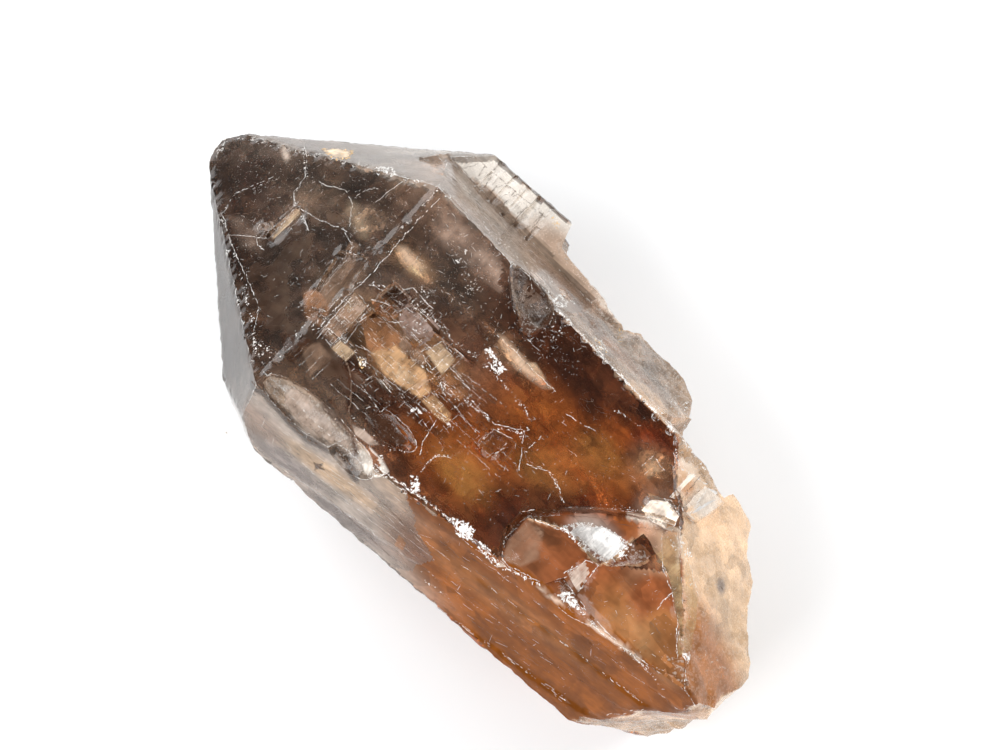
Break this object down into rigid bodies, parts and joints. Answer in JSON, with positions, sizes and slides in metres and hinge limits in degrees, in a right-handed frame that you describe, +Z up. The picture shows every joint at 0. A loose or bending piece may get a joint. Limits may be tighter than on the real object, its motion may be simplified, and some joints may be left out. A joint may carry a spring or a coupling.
{
  "type": "rough smoky quartz crystal",
  "caption": "Single rough crystal of see-through smoky quartz with a six-sided point, broken root and small crystals grown into its side, lying flat.",
  "frame": {"origin": "middle of the bounding box at the level of the face that the crystal rests on", "axes": "+X along the crystal from its point to its broken root, +Z up from the resting face to the wide front face"},
  "size_m": [0.1588, 0.0776, 0.061],
  "materials": {
    "smoky_quartz": "clear grey-brown quartz with glossy growth faces and rough broken ones"
  },
  "bodies": {
    "root": {"smoky_quartz_crystal": "smoky_quartz"}
  },
  "joints": []
}
